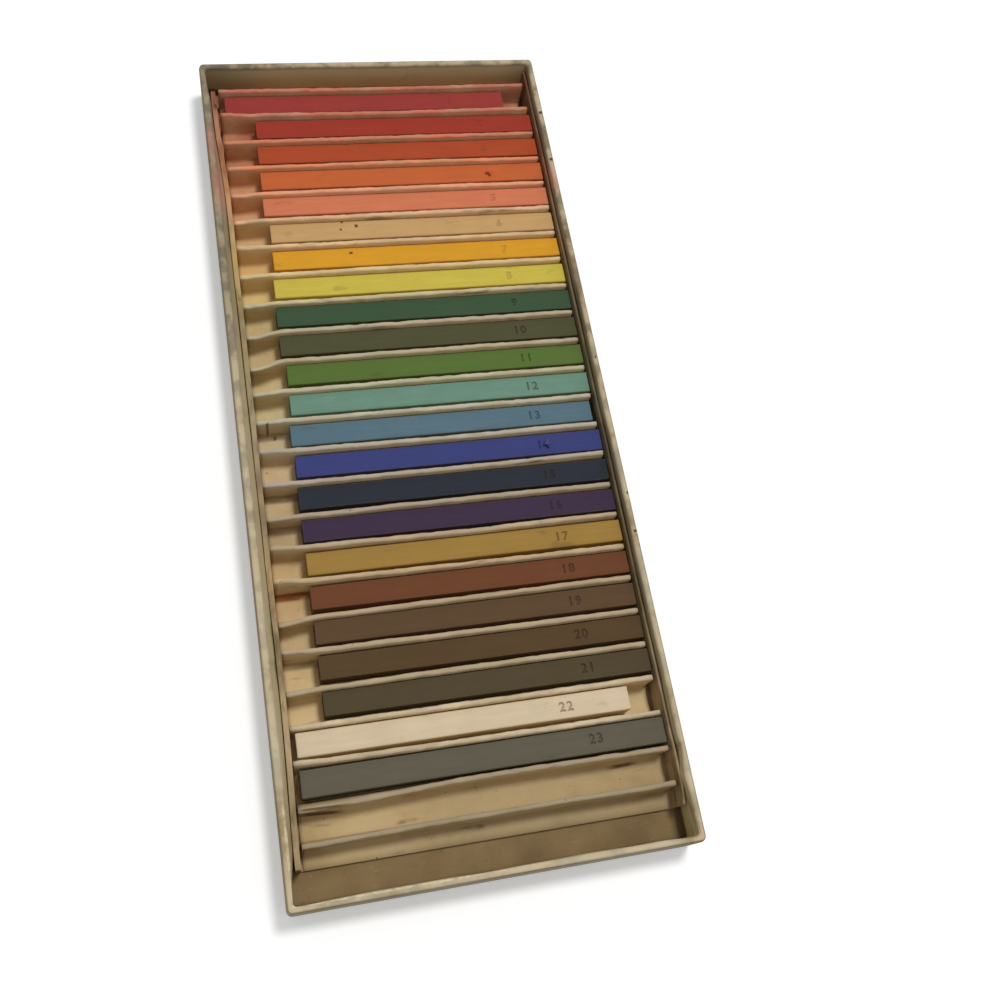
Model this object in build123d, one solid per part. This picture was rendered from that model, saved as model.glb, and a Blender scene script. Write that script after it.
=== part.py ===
from build123d import *
import os
from math import acos, degrees, sin

# A set-up tray of scored chipboard, covered with paper, that keeps square pastel sticks apart.
# A card with a low side along each long edge lies loose in the tray. On it is one long sheet
# of paper, pleated into upright fins with a hollow groove between each two, and a stick lies
# in each groove but the nearest.
#
# Millimetres. X runs along the sticks, Y from the near end to the far end, and Z up.
# The origin is the middle of the tray's underside.

# Sticks
stick_side = 6.35            # a quarter inch square
stick_length = 92.1          # three and five eighths inches, unused
stick_edge = 0.4             # worn off all edges of a stick
far_gap = 0.4                # from a stick to the fin on its far side
near_gap = 1.15              # from a stick to the fin on its near side
seat_gap = 0.15              # from a stick's edges to the curved floor below them
end_gap = 0.3                # from a stick to the card that it has slid up against
slid_gap = 2.4               # from a stick that lies to the left to the card on the left
finger_room = 10.7           # spare length in a groove, to get at the end of a stick

# Pleated sheet
groove_count = 24
paper = 0.45                 # thickness of the pleated sheet
crest_inner_radius = 0.5     # inside the bend at the top of a fin
fold_radius = 1.0            # middle of the sheet, where a fin turns into a floor
floor_radius = 12.0          # middle of the sheet, along a groove's hollow floor
crest_above_stick = 1.75
foot_length = 5.0            # flat flap beyond the first and the last fin
sag_gap = 0.05               # from the lowest line of a floor to the card
pleat_left_gap = 0.9         # from the sheet's left edge to the card's side
pleat_right_gap = 1.2

# Card under the sheet, and strips of the same card on edge beside it
card = 0.7
card_slit = 0.1              # between the two plies of the left strip, which is folded over
card_above_crest = 0.3

# Tray
board = 1.2                  # thickness of the chipboard
wrap = 0.3                   # covering paper with its glue
corner_radius = 1.3          # upright corners of the board
rim_radius = 0.6             # paper turned over the top of a wall
bare_strip = 2.4             # foot of each wall, below the turned-in paper
corner_seam = 0.15           # between two walls that meet at a corner
seam_foot = 0.2              # solid board left under a seam
left_room = 1.1              # from the tray's wall to the card on the left
right_room = 0.5
far_room = 0.7
near_room = 8.6              # bare floor between the insert and the near wall
rim_above_card = 2.9

# Gummed paper stays round the corners of the board, under the covering paper
stay = 0.12                  # thickness
stay_reach = 13.0            # along each wall from the corner
stay_margin = 0.8            # board left bare above and below a stay

LEFT = "left"
RIGHT = "right"
# Name, the side that the stick has slid to, its distance from that side, and worn-off length.
sticks = [
    ("crimson", LEFT, slid_gap, 0.0),
    ("red", RIGHT, end_gap, 0.6),
    ("vermilion", RIGHT, end_gap, 0.3),
    ("orange", RIGHT, end_gap, 0.2),
    ("salmon", RIGHT, end_gap, 0.0),
    ("buff", RIGHT, end_gap, 1.2),
    ("golden_yellow", RIGHT, end_gap, 1.0),
    ("lemon_yellow", RIGHT, end_gap, 0.3),
    ("dark_green", RIGHT, end_gap, 0.0),
    ("olive", RIGHT, end_gap, 0.0),
    ("leaf_green", RIGHT, end_gap, 1.0),
    ("aqua", RIGHT, end_gap, 0.8),
    ("sky_blue", RIGHT, 1.4, 1.0),
    ("ultramarine", RIGHT, end_gap, 0.3),
    ("navy", RIGHT, end_gap, 0.0),
    ("purple", RIGHT, end_gap, 0.0),
    ("ochre", RIGHT, end_gap, 0.0),
    ("russet", RIGHT, end_gap, 0.0),
    ("brown", RIGHT, end_gap, 0.0),
    ("umber", RIGHT, end_gap, 0.0),
    ("sepia", RIGHT, end_gap, 0.0),
    ("white", LEFT, slid_gap, 0.0),
]
gray_name = "gray"           # the one long stick, which all but fills its groove

# Heights, from the underside up
board_under = wrap
board_top = board_under + board
card_top = board_top + card
foot_middle = card_top + paper / 2
floor_middle = card_top + sag_gap + paper / 2

# Pleats: the legs of a fin stand straight, and a floor is an arc that meets them in two folds
crest_radius = crest_inner_radius + paper / 2
fin_thickness = 2 * (crest_inner_radius + paper)
groove_width = far_gap + stick_side + near_gap
pitch = groove_width + fin_thickness
fold_centre = (pitch - 2 * crest_radius) / 2 - fold_radius
fold_turn = acos(fold_centre / (floor_radius - fold_radius))
floor_centre_z = floor_middle + floor_radius
fold_z = floor_centre_z - (floor_radius - fold_radius) * sin(fold_turn)

# A stick's lower far edge stands where the hollow floor comes up nearest to it
edge_offset = groove_width / 2 - far_gap - stick_edge
floor_face_radius = floor_radius - paper / 2
floor_under_edge = floor_centre_z - (floor_face_radius**2 - edge_offset**2) ** 0.5
stick_under = floor_under_edge + seat_gap
stick_top = stick_under + stick_side
crest_top = stick_top + crest_above_stick
crest_centre_z = crest_top - paper - crest_inner_radius
card_edge = crest_top + card_above_crest
tray_height = card_edge + rim_above_card

# Plan of the tray, worked out from what stands in it
wall = board + 2 * wrap
groove_length = stick_length + finger_room + end_gap
folded_side = 2 * card + card_slit
insert_width = groove_length + folded_side + card
insert_length = groove_count * pitch + fin_thickness + 2 * foot_length
tray_width = 2 * wall + left_room + insert_width + right_room
tray_length = 2 * wall + near_room + insert_length + far_room
insert_left = -tray_width / 2 + wall + left_room
insert_near = -tray_length / 2 + wall + near_room
groove_left = insert_left + folded_side
groove_right = groove_left + groove_length
nearest_fin = insert_near + foot_length + fin_thickness / 2


def upright_block(width, length, low, high, radius=0.0):
    """A block centred in plan, from one height to another, with rounded upright corners."""
    block = Pos(0, 0, low) * Box(width, length, high - low, align=(Align.CENTER, Align.CENTER, Align.MIN))
    if radius > 0:
        block = fillet(block.edges().filter_by(Axis.Z), radius)
    return block


def make_tray_board():
    """Bottom and four walls from one scored sheet. The walls meet at the corners in open seams."""
    width = tray_width - 2 * wrap
    length = tray_length - 2 * wrap
    high = tray_height - wrap
    shell = upright_block(width, length, board_under, high, corner_radius)
    shell -= upright_block(width - 2 * board, length - 2 * board, board_top, high)
    for side_x in (-1, 1):
        for side_y in (-1, 1):
            seam = Box(board, corner_seam, high, align=(Align.CENTER, Align.CENTER, Align.MIN))
            seam_x = side_x * (width - board) / 2
            seam_y = side_y * (length / 2 - board - corner_seam / 2)
            shell -= Pos(seam_x, seam_y, board_top + seam_foot) * seam
    return shell


def make_corner_stay(side_x, side_y):
    """Gummed paper folded round one corner of the board."""
    width = tray_width - 2 * wrap
    length = tray_length - 2 * wrap
    low = board_under + stay_margin
    high = tray_height - wrap - stay_margin
    skin = upright_block(width + 2 * stay, length + 2 * stay, low, high, corner_radius + stay)
    skin -= upright_block(width, length, low, high, corner_radius)
    corner = Box(stay_reach, stay_reach, high, align=(Align.MAX, Align.MAX, Align.MIN))
    corner = Pos(width / 2 + stay, length / 2 + stay, 0) * corner
    if side_x < 0:
        corner = mirror(corner, about=Plane.YZ)
    if side_y < 0:
        corner = mirror(corner, about=Plane.XZ)
    return skin & corner


def make_side_wrap(stays):
    """Covering paper round the walls, over the rim and part of the way down inside."""
    board_width = tray_width - 2 * wrap
    board_length = tray_length - 2 * wrap
    inner_width = board_width - 2 * board
    inner_length = board_length - 2 * board
    ring = upright_block(tray_width, tray_length, board_under, tray_height, corner_radius + wrap)
    ring -= upright_block(inner_width - 2 * wrap, inner_length - 2 * wrap, board_under, tray_height)
    rim = ring.faces().sort_by(Axis.Z)[-1]
    ring = fillet(rim.edges(), rim_radius)
    walls = upright_block(board_width, board_length, board_under, tray_height - wrap, corner_radius)
    walls -= upright_block(inner_width, inner_length, board_under, tray_height - wrap)
    ring -= walls
    ring -= upright_block(inner_width, inner_length, board_under, board_top + bare_strip)
    for corner_stay in stays:
        ring -= corner_stay
    return ring


def make_bottom_sheet():
    """Covering paper on the underside, cut to the outline of the sides."""
    return upright_block(tray_width, tray_length, 0, wrap, corner_radius + wrap)


def strip_between(left, right, low, high):
    """A strip of card as long as the insert, between two places across the tray and two heights."""
    strip = Box(right - left, insert_length, high - low, align=(Align.MIN, Align.MIN, Align.MIN))
    return Pos(left, insert_near, low) * strip


def make_base_card():
    """Card that the pleats are glued to by their two feet."""
    return strip_between(groove_left, groove_right, board_top, card_top)


def make_left_side():
    """Strip of card folded over along its top, so that it stands double beside the grooves."""
    strip = strip_between(insert_left, groove_left, board_top, card_edge)
    top_edges = strip.edges().filter_by(Axis.Y).group_by(Axis.Z)[-1]
    strip = fillet(top_edges, card)
    return strip - strip_between(insert_left + card, groove_left - card, board_top, card_edge - card)


def make_right_side():
    """Single strip of card that stands against the right edge of the base card."""
    return strip_between(groove_right, groove_right + card, board_top, card_edge)


def sheet_face(shift):
    """Edges of one face of the pleated sheet, from its near end to its far end.

    shift is the face's distance from the middle of the sheet, above it where it is positive.
    """
    turn = degrees(fold_turn)
    near_end = insert_near
    first_leg = nearest_fin - crest_radius
    foot_bend = first_leg - fold_radius
    edges = [
        Line((near_end, foot_middle + shift), (foot_bend, foot_middle + shift)),
        CenterArc((foot_bend, foot_middle + fold_radius), fold_radius - shift, -90, 90),
    ]
    leg_foot = foot_middle + fold_radius
    for number in range(groove_count + 1):
        fin = nearest_fin + number * pitch
        near_leg = fin - crest_radius - shift
        far_leg = fin + crest_radius + shift
        edges.append(Line((near_leg, leg_foot), (near_leg, crest_centre_z)))
        edges.append(CenterArc((fin, crest_centre_z), crest_radius + shift, 180, -180))
        if number == groove_count:
            break
        leg_foot = fold_z
        floor_y = fin + pitch / 2
        edges.append(Line((far_leg, crest_centre_z), (far_leg, fold_z)))
        edges.append(CenterArc((floor_y - fold_centre, fold_z), fold_radius - shift, 180, turn))
        edges.append(CenterArc((floor_y, floor_centre_z), floor_radius - shift, 180 + turn, 180 - 2 * turn))
        edges.append(CenterArc((floor_y + fold_centre, fold_z), fold_radius - shift, -turn, turn))
    leg_foot = foot_middle + fold_radius
    foot_bend = fin + crest_radius + fold_radius
    far_end = insert_near + insert_length
    edges.append(Line((far_leg, crest_centre_z), (far_leg, leg_foot)))
    edges.append(CenterArc((foot_bend, leg_foot), fold_radius - shift, 180, 90))
    edges.append(Line((foot_bend, foot_middle + shift), (far_end, foot_middle + shift)))
    return edges


def make_pleated_sheet():
    """One sheet of even thickness: foot, fins with hollow floors between them, and foot."""
    upper = sheet_face(paper / 2)
    lower = sheet_face(-paper / 2)
    near_edge = Line(lower[0] @ 0, upper[0] @ 0)
    far_edge = Line(lower[-1] @ 1, upper[-1] @ 1)
    section = make_face(Wire(upper + [far_edge] + lower[::-1] + [near_edge]))
    left = groove_left + pleat_left_gap
    width = groove_length - pleat_left_gap - pleat_right_gap
    return extrude(Plane.YZ.offset(left) * section, amount=width)


def make_stick(length):
    """A square stick with all its edges worn off, lying along X."""
    stick = Box(length, stick_side, stick_side, align=(Align.MIN, Align.MAX, Align.MIN))
    return chamfer(stick.edges(), stick_edge)


def place_stick(number, side, gap, length):
    """Lay a stick in its groove. The farthest groove is number 1."""
    fin = nearest_fin + (groove_count + 1 - number) * pitch
    stick_y = fin - fin_thickness / 2 - far_gap
    stick_x = groove_left + gap
    if side == RIGHT:
        stick_x = groove_right - gap - length
    return Pos(stick_x, stick_y, stick_under) * make_stick(length)


parts = {}
corners = {"far_left": (-1, 1), "far_right": (1, 1), "near_left": (-1, -1), "near_right": (1, -1)}
for corner_name, corner_sides in corners.items():
    parts["corner_stay_" + corner_name] = make_corner_stay(*corner_sides)
parts["side_wrap"] = make_side_wrap(list(parts.values()))
parts["bottom_sheet"] = make_bottom_sheet()
parts["tray_board"] = make_tray_board()
parts["base_card"] = make_base_card()
parts["side_card_left"] = make_left_side()
parts["side_card_right"] = make_right_side()
parts["pleated_sheet"] = make_pleated_sheet()
for place, (colour, slid_to, distance, worn) in enumerate(sticks, start=1):
    stick_name = f"stick_{place:02d}_{colour}"
    parts[stick_name] = place_stick(place, slid_to, distance, stick_length - worn)
gray_place = len(sticks) + 1
gray_length = groove_length - end_gap - slid_gap
parts[f"stick_{gray_place:02d}_{gray_name}"] = place_stick(gray_place, RIGHT, end_gap, gray_length)

os.makedirs("parts", exist_ok=True)
for name, solid in parts.items():
    solid.label = name
    export_step(solid, os.path.join("parts", name + ".step"))

print(f"tray {tray_width:.2f} x {tray_length:.2f} x {tray_height:.2f}")
print(f"pitch {pitch:.3f}, crest {crest_top:.2f}, stick {stick_under:.2f} to {stick_top:.2f}")
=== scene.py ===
from math import asin, cos, pi, radians, sin

import bmesh
import bpy
from mathutils import Matrix, Vector


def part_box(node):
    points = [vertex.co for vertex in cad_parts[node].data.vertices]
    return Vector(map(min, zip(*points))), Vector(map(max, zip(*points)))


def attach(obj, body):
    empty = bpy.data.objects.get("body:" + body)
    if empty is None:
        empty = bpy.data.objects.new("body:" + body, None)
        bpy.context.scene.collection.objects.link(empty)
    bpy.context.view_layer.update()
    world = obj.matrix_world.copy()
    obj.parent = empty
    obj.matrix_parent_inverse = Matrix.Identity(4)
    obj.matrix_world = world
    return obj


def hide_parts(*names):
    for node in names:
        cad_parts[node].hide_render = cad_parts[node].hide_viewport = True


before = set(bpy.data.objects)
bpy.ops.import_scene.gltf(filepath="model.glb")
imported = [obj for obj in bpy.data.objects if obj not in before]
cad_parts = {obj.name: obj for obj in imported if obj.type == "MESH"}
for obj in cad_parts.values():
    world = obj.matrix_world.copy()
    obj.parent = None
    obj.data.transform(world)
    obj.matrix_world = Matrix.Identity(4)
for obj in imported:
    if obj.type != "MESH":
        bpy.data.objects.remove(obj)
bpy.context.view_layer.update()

# A covered chipboard tray with square pastel sticks in the grooves of a pleated paper insert.
# Metres. X runs along the sticks, Y from the near end to the far end, and Z up.
mm = 0.001

# Places and sizes of the parts
tray_low, tray_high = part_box("side_wrap")
sheet_low, sheet_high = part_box("pleated_sheet")
left_card_low, left_card_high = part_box("side_card_left")
right_card_low, right_card_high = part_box("side_card_right")
base_low, base_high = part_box("base_card")
stick_nodes = sorted(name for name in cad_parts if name.startswith("stick_"))
stick_boxes = {name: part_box(name) for name in stick_nodes}
first_low, first_high = stick_boxes[stick_nodes[0]]
last_low, last_high = stick_boxes[stick_nodes[-1]]
pitch = (first_high.y - last_high.y) / (len(stick_nodes) - 1)
groove_count = len(stick_nodes) + 1
stick_side = first_high.z - first_low.z

# Sizes of the folded paper
paper = 0.45 * mm
crest_radius = 0.725 * mm
crest_rise = 0.4 * mm
fold_radius = 1.0 * mm
floor_radius = 12.0 * mm
foot_length = 5.0 * mm
floor_height = base_high.z + 0.05 * mm + paper / 2
crest_centre = sheet_high.z - paper / 2 - crest_rise
fold_reach = pitch / 2 - crest_radius - fold_radius
floor_turn = asin(fold_reach / (floor_radius - fold_radius))
floor_half = floor_radius * floor_turn
nearest_fin = sheet_low.y + foot_length + crest_radius + paper / 2


def linear(red, green, blue):
    """A colour as the eye reads it, 0 to 255, as the light values that a shader takes."""
    shares = [value / 255 for value in (red, green, blue)]
    return tuple(s / 12.92 if s <= 0.04045 else ((s + 0.055) / 1.055) ** 2.4 for s in shares) + (1.0,)


# Pigments, by the colour in each stick's name
pigments = {
    "crimson": linear(152, 58, 52),
    "red": linear(158, 56, 42),
    "vermilion": linear(172, 74, 42),
    "orange": linear(196, 100, 54),
    "salmon": linear(209, 122, 87),
    "buff": linear(198, 159, 106),
    "golden_yellow": linear(216, 155, 42),
    "lemon_yellow": linear(203, 185, 76),
    "dark_green": linear(61, 84, 59),
    "olive": linear(79, 78, 52),
    "leaf_green": linear(89, 112, 53),
    "aqua": linear(109, 144, 126),
    "sky_blue": linear(90, 116, 128),
    "ultramarine": linear(60, 67, 121),
    "navy": linear(44, 48, 57),
    "purple": linear(64, 49, 70),
    "ochre": linear(160, 127, 63),
    "russet": linear(111, 68, 43),
    "brown": linear(94, 72, 49),
    "umber": linear(88, 68, 44),
    "sepia": linear(83, 71, 50),
    "white": linear(217, 198, 167),
    "gray": linear(99, 94, 79),
}

# Paper, card and dirt, and the colours of painted shade and highlight
cream = linear(216, 190, 143)
pale_cream = linear(216, 196, 160)
old_cream = linear(192, 163, 114)
cover_gray = linear(186, 174, 146)
cover_brown = linear(160, 139, 103)
# Outside of the walls, in painted shade
cover_outside_shade = linear(118, 112, 94)
inside_brown = linear(198, 181, 137)
# Dirt, and also painted shade at the foot of the end walls
grime_and_shade = linear(74, 58, 38)
soot = linear(36, 31, 28)
# Brown of marks in the folds and of a painted shadow line under a crest
brown_stain_and_shadow = linear(88, 64, 36)
russet_stain = linear(130, 74, 36)
rose = linear(214, 148, 130)
chalk_white = linear(224, 220, 212)
# Bare paper along the rim's inner edge, painted brighter as a highlight
bare_edge_highlight = linear(240, 226, 192)
board_brown = linear(146, 123, 86)
board_dark = linear(120, 99, 68)
board_light = linear(172, 152, 116)
card_buff = linear(186, 162, 122)
card_core = linear(150, 128, 94)
kraft = linear(168, 146, 112)


class Socket:
    """An output of a node. Arithmetic on it adds Math nodes."""

    def __init__(self, nodes, output):
        self.nodes = nodes
        self.output = output

    def __add__(self, other):
        return self.nodes.math("ADD", self, other)

    def __radd__(self, other):
        return self.nodes.math("ADD", other, self)

    def __sub__(self, other):
        return self.nodes.math("SUBTRACT", self, other)

    def __rsub__(self, other):
        return self.nodes.math("SUBTRACT", other, self)

    def __mul__(self, other):
        return self.nodes.math("MULTIPLY", self, other)

    def __rmul__(self, other):
        return self.nodes.math("MULTIPLY", other, self)

    def __truediv__(self, other):
        return self.nodes.math("DIVIDE", self, other)

    def __pow__(self, other):
        return self.nodes.math("POWER", self, other)

    def __neg__(self):
        return self.nodes.math("MULTIPLY", self, -1.0)

    def __gt__(self, other):
        return self.nodes.math("GREATER_THAN", self, other)


class Nodes:
    """Adds nodes to one tree, of a material or of a shape."""

    def __init__(self, tree):
        self.tree = tree

    def node(self, kind, settings=None, values=None, output=0):
        """A node of that kind: its settings first, then the value or the link of its sockets."""
        made = self.tree.nodes.new(kind)
        for name, value in (settings or {}).items():
            if name == "stops":
                self.set_stops(made.color_ramp, value)
            else:
                setattr(made, name, value)
        for name, value in (values or {}).items():
            if isinstance(value, Socket):
                self.tree.links.new(value.output, made.inputs[name])
            else:
                made.inputs[name].default_value = value
        return Socket(self, made.outputs[output]) if made.outputs else None

    def set_stops(self, ramp, stops):
        """Give a colour ramp its stops, as (place, colour)."""
        for _ in range(len(stops) - 2):
            ramp.elements.new(0.5)
        for element, (place, colour) in zip(ramp.elements, stops):
            element.position = place
            element.color = colour

    def math(self, operation, *values):
        return self.node("ShaderNodeMath", {"operation": operation}, dict(enumerate(values)))

    def vector_math(self, operation, *values, output=0):
        return self.node("ShaderNodeVectorMath", {"operation": operation}, dict(enumerate(values)), output)

    def scaled(self, vector, amount):
        return self.node("ShaderNodeVectorMath", {"operation": "SCALE"}, {0: vector, "Scale": amount})

    def absolute(self, value):
        return self.math("ABSOLUTE", value)

    def larger(self, first, second):
        return self.math("MAXIMUM", first, second)

    def smaller(self, first, second):
        return self.math("MINIMUM", first, second)

    def clamp(self, value, low=0.0, high=1.0):
        return self.smaller(self.larger(value, low), high)

    def rise(self, value, low, high):
        """0 below low, 1 above high, and smooth between them. It falls where low is the higher."""
        values = {"Value": value, "From Min": low, "From Max": high}
        return self.node("ShaderNodeMapRange", {"interpolation_type": "SMOOTHSTEP"}, values)

    def parts_of(self, vector):
        """X, Y and Z of a vector."""
        split = self.node("ShaderNodeSeparateXYZ", None, {0: vector})
        return [Socket(self, output) for output in split.output.node.outputs]

    def vector(self, x, y, z):
        return self.node("ShaderNodeCombineXYZ", None, {0: x, 1: y, 2: z})


def emptied(holder):
    """The node tree of a material or a world, without the nodes that it starts with."""
    holder.use_nodes = True
    holder.node_tree.nodes.clear()
    return holder.node_tree


class Finish(Nodes):
    """A material in the making. Its place is in millimetres on the object."""

    def __init__(self, name):
        self.material = bpy.data.materials.new(name)
        super().__init__(emptied(self.material))
        metres = self.node("ShaderNodeTexCoord", output="Object")
        self.place = self.scaled(metres, 1 / mm)
        self.x, self.y, self.z = self.parts_of(self.place)

    def stretched(self, x, y, z):
        """The place, drawn out so that a pattern is x times as long, y times as wide and so on."""
        return self.vector_math("DIVIDE", self.place, (x, y, z))

    def noise(self, size, detail=3.0, place=None, roughness=0.55, seed=0.0):
        """Cloudy pattern about 0 to 1 whose patches are about size millimetres across."""
        values = {"Vector": place or self.place, "W": seed, "Scale": 1 / size, "Detail": detail}
        values["Roughness"] = roughness
        return self.node("ShaderNodeTexNoise", {"noise_dimensions": "4D"}, values)

    def flecks(self, size, share, place=None):
        """Small round spots: 1 in the middle of a spot. Share is how much of a cell a spot fills."""
        cells = self.node("ShaderNodeTexVoronoi", None, {"Vector": place or self.place, "Scale": 1 / size})
        return self.rise(cells, share, share * 0.5)

    def mix(self, factor, first, second, blend="MIX"):
        """The first colour, and the second where the factor is 1."""
        settings = {"data_type": "RGBA", "blend_type": blend, "clamp_factor": True}
        return self.node("ShaderNodeMix", settings, {0: factor, 6: first, 7: second}, 2)

    def shaded(self, colour, amount):
        """A colour, lighter or darker by an amount about 1."""
        gray = self.vector(amount, amount, amount)
        return self.mix(1.0, colour, gray, "MULTIPLY")

    def spots(self, places, blur=0.5):
        """1 at each of the places, (x, y, size) in millimetres, and 0 away from them."""
        drift = self.node("ShaderNodeTexNoise", None, {"Vector": self.place, "Scale": 0.9}, 1)
        moved = self.vector_math("ADD", self.place, drift)
        flat = self.vector_math("MULTIPLY", moved, (1.0, 1.0, 0.0))
        found = 0.0
        for x, y, size in places:
            away = self.vector_math("DISTANCE", flat, (x + 0.5, y + 0.5, 0.0), output=1)
            found = self.larger(self.rise(away, size, size * blur), found)
        return found

    def bump(self, height, relief, under=None):
        """The normal over a height of 0 to 1 that stands for a relief in millimetres."""
        values = {"Height": height, "Distance": relief * mm, "Strength": 1.0}
        if under:
            values["Normal"] = under
        return self.node("ShaderNodeBump", None, values)

    def done(self, colour, roughness, normal, specular=0.25):
        values = {"Base Color": colour, "Roughness": roughness, "Normal": normal}
        values["Specular IOR Level"] = specular
        shader = self.node("ShaderNodeBsdfPrincipled", None, values)
        self.node("ShaderNodeOutputMaterial", None, {"Surface": shader})
        return self.material


# Finishes

def paper_relief(f, fibre=0.35, cockle=7.0):
    """Fine fibres over a soft cockle, as on old paper."""
    soft = f.bump(f.noise(cockle, 2.0), 0.12)
    return f.bump(f.noise(fibre, 5.0, roughness=0.7), 0.035, soft)


def covering_paper_finish():
    """Gray-cream paper, rubbed pale along the rim, brown inside, streaked and blotched with dirt, and
    darker towards the far end; painted shade on the side linings and the outside, and a painted highlight
    on the rim's inner edge by the near corner.
    """
    f = Finish("covering_paper")
    clouds = f.noise(16.0, 4.0, seed=1.0)
    colour = f.mix(f.rise(clouds, 0.42, 0.68), cover_gray, cover_brown)
    top = tray_high.z / mm
    from_side = tray_high.x / mm - f.absolute(f.x)
    from_end = tray_high.y / mm - f.absolute(f.y)
    inset = f.smaller(from_side, from_end)
    colour = f.shaded(colour, 0.6 + f.rise(f.y, 60.0, -90.0) * 0.4)
    inside = f.rise(inset, 1.1, 1.5) * f.rise(f.z, top - 0.7, top - 2.2)
    colour = f.mix(inside * 0.95, colour, inside_brown)
    rubbed = f.rise(f.noise(5.0, 4.0, seed=2.0), 0.4, 0.6)
    crown = f.rise(f.z, top - 1.6, top - 0.5)
    colour = f.mix(crown * rubbed * 0.6, colour, pale_cream)
    handled = f.rise(f.noise(9.0, 5.0, seed=3.0, roughness=0.7), 0.58, 0.72)
    colour = f.mix(handled * 0.22, colour, grime_and_shade)
    # A bare paper line along the rim's inner edge by the near corner, painted brighter as a highlight
    edge_highlight_line = f.rise(inset, 1.4, 1.65) * f.rise(inset, 2.4, 2.0) * f.rise(f.z, top - 1.6, top - 0.9)
    near_corner = f.rise(f.y, -96.0, -112.0) * f.rise(f.x, 22.0, -20.0)
    broken = f.rise(f.noise(2.0, 5.0, seed=8.0), 0.3, 0.62)
    colour = f.mix(edge_highlight_line * near_corner * broken * 0.7, colour, bare_edge_highlight)
    drawn = f.noise(2.4, 4.0, f.stretched(1.0, 6.0, 1.0), seed=7.0)
    along_side = inside * f.rise(inset - from_side, -1.0, 0.0)
    colour = f.mix(f.rise(drawn, 0.56, 0.7) * along_side * 0.6, colour, grime_and_shade)
    # Painted shade on the right lining, away from the near end; the left lining is made a little darker as
    # well
    left_side, right_side = f.rise(f.x, -30.0, -50.0), f.rise(f.x, 30.0, 50.0)
    lining_shade_and_darkening = left_side * 0.28 + right_side * f.rise(f.y, -110.0, -50.0) * 0.6
    colour = f.shaded(colour, 1 - along_side * lining_shade_and_darkening)
    pink = f.spots([(-54.0, 100.0, 10.0), (-54.0, 84.0, 14.0), (53.5, 82.0, 8.0)], 0.1)
    colour = f.mix(pink * (0.35 + f.noise(3.0, 3.0, seed=4.0) * 0.5), colour, rose)
    colour = f.shaded(colour, 1 - left_side * f.rise(f.y, 10.0, 60.0) * 0.3)
    specks = f.flecks(6.0, 0.07, f.stretched(1.0, 1.6, 1.0))
    specks = specks * f.rise(f.noise(18.0, 2.0, seed=5.0), 0.5, 0.58) * (1 - inside)
    marks = f.spots([(54.3, 107.4, 0.8), (54.4, 88.5, 0.9), (54.9, -30.0, 0.8), (54.3, -42.0, 0.7)])
    colour = f.mix(f.larger(specks * 0.8, marks * 0.9), colour, soot)
    smears = f.spots([(-54.2, 99.9, 1.6), (-54.0, 62.0, 1.8), (53.6, -104.0, 1.2)], 0.1)
    colour = f.mix(smears * 0.6, colour, cover_brown)
    # Painted shade on the outside of the walls and the outer rounding of the rim
    colour = f.mix(f.rise(inset, 0.85, 0.15) * 0.75, colour, cover_outside_shade)
    grain = f.noise(0.5, 4.0, seed=6.0)
    colour = f.shaded(colour, 0.9 + grain * 0.2)
    return f.done(colour, 0.72 + grain * 0.2, paper_relief(f))


def chipboard_finish():
    """Pressed gray-brown pulp with pale and dark flecks and drawn-out fibres; painted shade at the foot of
    the end walls and in the corner join at the near right.
    """
    f = Finish("chipboard")
    clouds = f.noise(24.0, 4.0, seed=1.0)
    colour = f.mix(f.rise(clouds, 0.35, 0.7), board_brown, board_dark)
    fibres = f.noise(0.8, 3.0, f.stretched(4.0, 1.0, 1.0), seed=2.0)
    colour = f.mix(f.rise(fibres, 0.62, 0.74) * 0.3, colour, board_light)
    colour = f.mix(f.rise(fibres, 0.4, 0.3) * 0.3, colour, board_dark)
    dark = f.flecks(1.9, 0.2)
    pale = f.flecks(2.6, 0.14, f.stretched(1.5, 1.0, 1.0))
    few = f.rise(f.noise(7.0, 2.0, seed=4.0), 0.5, 0.62)
    colour = f.mix(dark * few * 0.3, colour, grime_and_shade)
    colour = f.mix(pale * few * 0.3, colour, board_light)
    # Painted shade at the foot of the end walls, and along the right wall's foot by the near corner
    edge = f.rise(tray_high.y / mm - f.absolute(f.y), 3.4, 1.9)
    seam = f.rise(f.x, 51.6, 52.3) * f.rise(f.y, -116.0, -120.0)
    colour = f.mix(f.larger(edge * 0.5, seam * 0.5), colour, grime_and_shade)
    height = fibres * 0.7 + dark * 0.3
    return f.done(colour, 0.86 + clouds * 0.1, f.bump(height, 0.05), 0.2)


def card_finish():
    """Buff card with a grayer, scuffed core and pigment rubbed off along its top edge; painted shade on the
    right-hand card.
    """
    f = Finish("insert_card")
    clouds = f.noise(11.0, 4.0, seed=1.0)
    colour = f.mix(f.rise(clouds, 0.4, 0.7), card_buff, card_core)
    worn = f.rise(f.noise(4.0, 5.0, f.stretched(1.0, 3.0, 1.0), seed=2.0), 0.5, 0.62)
    colour = f.mix(worn * 0.5, colour, grime_and_shade)
    colour = f.mix(groove_dust(f) * 0.6, colour, dust_colour(f))
    # Painted shade on the right-hand card, growing away from the near end
    right_side = f.rise(f.x, 45.0, 50.0) * f.rise(f.y, -110.0, -50.0)
    grain = f.noise(0.6, 4.0, seed=3.0)
    colour = f.shaded(colour, (0.85 + grain * 0.2) * (1 - right_side * 0.55))
    return f.done(colour, 0.8 + grain * 0.12, paper_relief(f, 0.45, 9.0), 0.2)


def groove_share(f):
    """How far along the row of grooves this place is: 0 at the nearest fin, 1 at the farthest."""
    return (f.y - nearest_fin / mm) / (pitch * groove_count / mm)


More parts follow.
